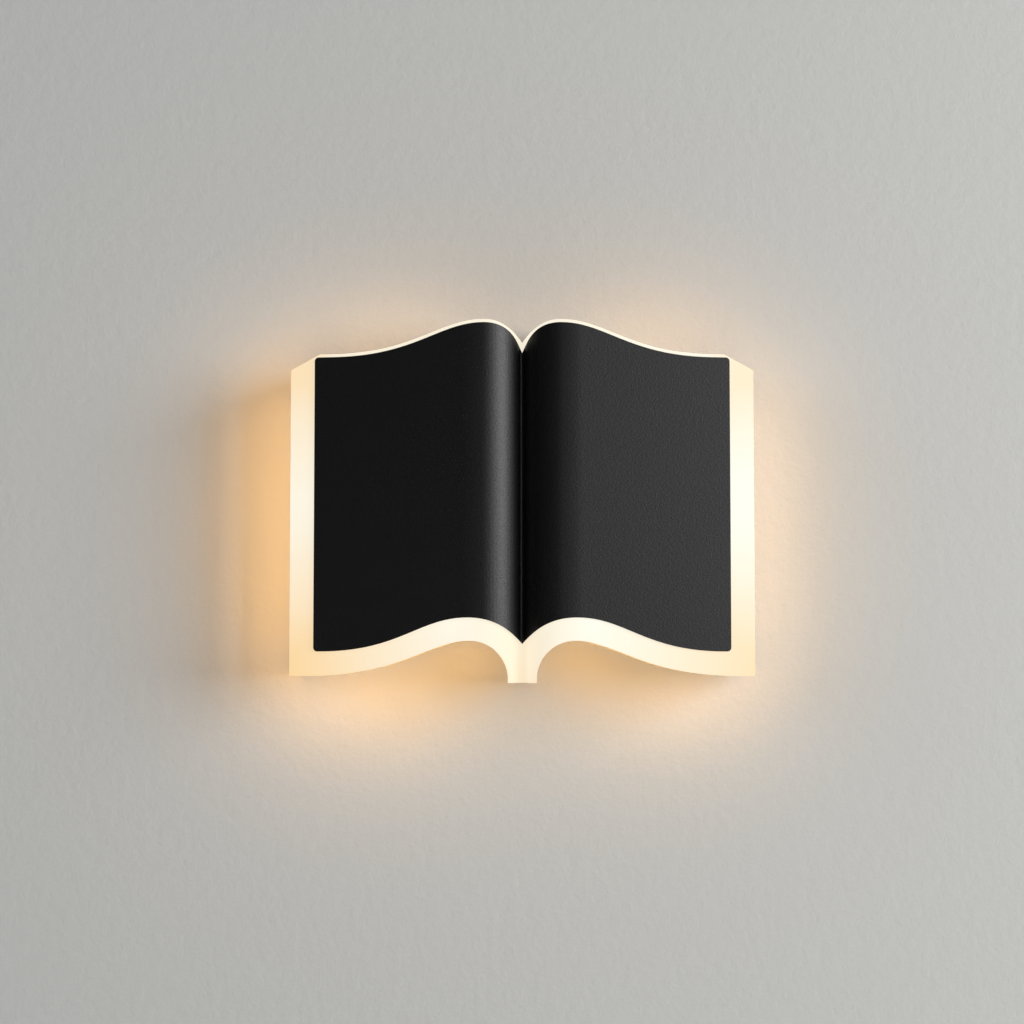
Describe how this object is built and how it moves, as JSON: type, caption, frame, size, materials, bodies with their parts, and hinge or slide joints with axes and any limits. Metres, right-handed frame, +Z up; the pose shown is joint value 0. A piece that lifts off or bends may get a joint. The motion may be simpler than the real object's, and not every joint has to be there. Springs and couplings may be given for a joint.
{
  "type": "book wall lamp",
  "caption": "Wall lamp in the shape of an open book: a bent black page sheet in front of a lit opal body, held on a wall bracket through a back pan.",
  "frame": {"origin": "middle of the wall bracket's two slots, on the bracket's back face, in the wall plane", "axes": "+X to the right as seen from the room, +Y into the wall, +Z up; the lamp faces -Y"},
  "size_m": [0.24, 0.057, 0.1865],
  "materials": {
    "black_powder_coat": "fine-textured matt black powder coat on bent sheet steel",
    "opal_acrylic": "injection-moulded opal acrylic, lit from inside",
    "white_powder_coat": "white powder coat on sheet steel",
    "white_board": "white solder mask on board laminate",
    "led_phosphor": "yellow phosphor in a clear encapsulant",
    "zinc_steel": "bright zinc-plated steel",
    "white_plastic": "moulded white polycarbonate",
    "lead_insulation": "extruded silicone insulation",
    "earth_insulation": "extruded green-yellow insulation",
    "grey_foam": "closed-cell foam strip",
    "grey_rubber": "moulded rubber",
    "brass": "tinned brass"
  },
  "bodies": {
    "root": {"page_sheet": "black_powder_coat", "page_studs": "zinc_steel", "diffuser": "opal_acrylic", "stud_washers": "zinc_steel", "stud_nuts": "zinc_steel", "base_plate": "white_powder_coat", "diffuser_screws": "zinc_steel", "plate_screws": "zinc_steel", "led_board_left": "white_board", "led_board_right": "white_board", "led_board_top_left": "white_board", "led_board_top_right": "white_board", "led_board_bottom_left": "white_board", "led_board_bottom_right": "white_board", "led_chips": "led_phosphor", "board_screws": "zinc_steel", "link_leads": "lead_insulation", "back_pan": "white_powder_coat", "wall_gasket": "grey_foam", "wall_bracket": "zinc_steel", "bracket_screws": "zinc_steel", "driver_case": "white_plastic", "driver_lid": "white_plastic", "driver_screws": "zinc_steel", "terminal_block": "white_plastic", "terminal_screws": "brass", "earth_ring": "brass", "earth_screw": "zinc_steel", "mains_leads": "lead_insulation", "earth_lead": "earth_insulation", "output_leads": "lead_insulation", "lead_grommet": "grey_rubber"}
  },
  "joints": []
}
